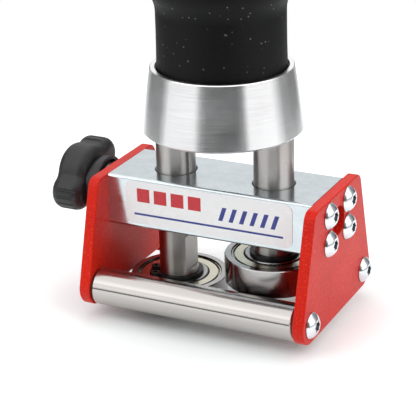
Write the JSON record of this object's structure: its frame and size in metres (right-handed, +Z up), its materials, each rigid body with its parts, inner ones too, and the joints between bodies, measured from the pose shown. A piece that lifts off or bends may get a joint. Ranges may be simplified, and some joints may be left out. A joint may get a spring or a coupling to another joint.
{
  "type": "sheet metal hand bender",
  "caption": "Hand bender for sheet metal: a grip on twin posts with ball bearings, and a sliding frame with a cross roller and red side plates, clamped by a wing knob.",
  "frame": {"origin": "on the bench, in the middle of the left post's end face, which is level with the lower bearing's underside", "axes": "+X from the lower bearing to the higher one, across the sheet; +Y along the bend, away from the labelled front; +Z up the posts to the grip"},
  "size_m": [0.1079, 0.0624, 0.2043],
  "materials": {
    "zinc_plated_steel": "bright zinc plate, fine satin grain",
    "label_film": "thin white film",
    "red_powder_coat": "satin powder coat",
    "screw_steel": "bright plated",
    "ground_steel": "ground",
    "polished_steel": "fine polished",
    "bearing_steel": "ground and polished",
    "shield_steel": "pressed sheet, slightly warm",
    "cage_steel": "pressed sheet",
    "black_spring_steel": "black oxide",
    "black_oxide_steel": "black oxide",
    "black_polymer": "dark dry-running polymer",
    "turned_aluminium": "fine turned satin",
    "core_aluminium": "turned",
    "grip_rubber": "matt, finely speckled",
    "knob_plastic": "fine moulded texture",
    "brass": "turned"
  },
  "bodies": {
    "handle_unit": {"left_post": "ground_steel", "right_post": "ground_steel", "left_circlip": "black_spring_steel", "right_circlip": "black_spring_steel", "collar": "turned_aluminium", "post_set_screws": "black_oxide_steel", "grip_bolt": "black_oxide_steel", "grip_core": "core_aluminium", "rubber_grip": "grip_rubber", "grip_end_cap": "knob_plastic", "left_bearing_inner_ring": "bearing_steel", "right_bearing_inner_ring": "bearing_steel"},
    "left_bearing_rim": {"left_bearing_outer_ring": "bearing_steel", "left_bearing_shields": "shield_steel", "left_bearing_balls": "bearing_steel", "left_bearing_cage": "cage_steel"},
    "right_bearing_rim": {"right_bearing_outer_ring": "bearing_steel", "right_bearing_shields": "shield_steel", "right_bearing_balls": "bearing_steel", "right_bearing_cage": "cage_steel"},
    "depth_frame": {"crosshead_block": "zinc_plated_steel", "label_plate": "label_film", "left_side_plate": "red_powder_coat", "right_side_plate": "red_powder_coat", "left_plate_screws": "screw_steel", "right_plate_screws": "screw_steel", "left_axle_screw": "screw_steel", "right_axle_screw": "screw_steel", "left_corner_screw": "screw_steel", "right_corner_screw": "screw_steel", "roller_axle": "ground_steel", "left_guide_bush": "black_polymer", "right_guide_bush": "black_polymer", "knob_washer": "screw_steel"},
    "clamp_follower": {"clamp_pad": "brass"},
    "clamp_knob": {"clamp_screw": "screw_steel", "wing_knob": "knob_plastic"},
    "roller_body": {"cross_roller": "polished_steel", "roller_bushes": "black_polymer"}
  },
  "joints": [
    {"name": "depth_slide", "type": "slide", "parent": "handle_unit", "child": "depth_frame", "axis": [0, 0, 1], "range_m": [-0.0042, 0.0177]},
    {"name": "left_bearing_spin", "type": "hinge", "parent": "handle_unit", "child": "left_bearing_rim", "pos_m": [0, 0, 0.005], "axis": [0, 0, 1], "continuous": true},
    {"name": "right_bearing_spin", "type": "hinge", "parent": "handle_unit", "child": "right_bearing_rim", "pos_m": [0.0375, 0, 0.019], "axis": [0, 0, 1], "continuous": true},
    {"name": "roller_spin", "type": "hinge", "parent": "depth_frame", "child": "roller_body", "pos_m": [0.01875, -0.0244, 0.0112], "axis": [1, 0, 0], "continuous": true},
    {"name": "clamp_feed", "type": "slide", "parent": "depth_frame", "child": "clamp_follower", "axis": [1, 0, 0], "range_m": [-0.003, 0]},
    {"name": "knob_turn", "type": "hinge", "parent": "clamp_follower", "child": "clamp_knob", "pos_m": [-0.02875, 0, 0.03945], "axis": [1, 0, 0], "range_deg": [-745, 25]}
  ],
  "couplings": [
    {"joint": "knob_turn", "follows": "clamp_feed", "rad_per_m": 4188.8}
  ]
}
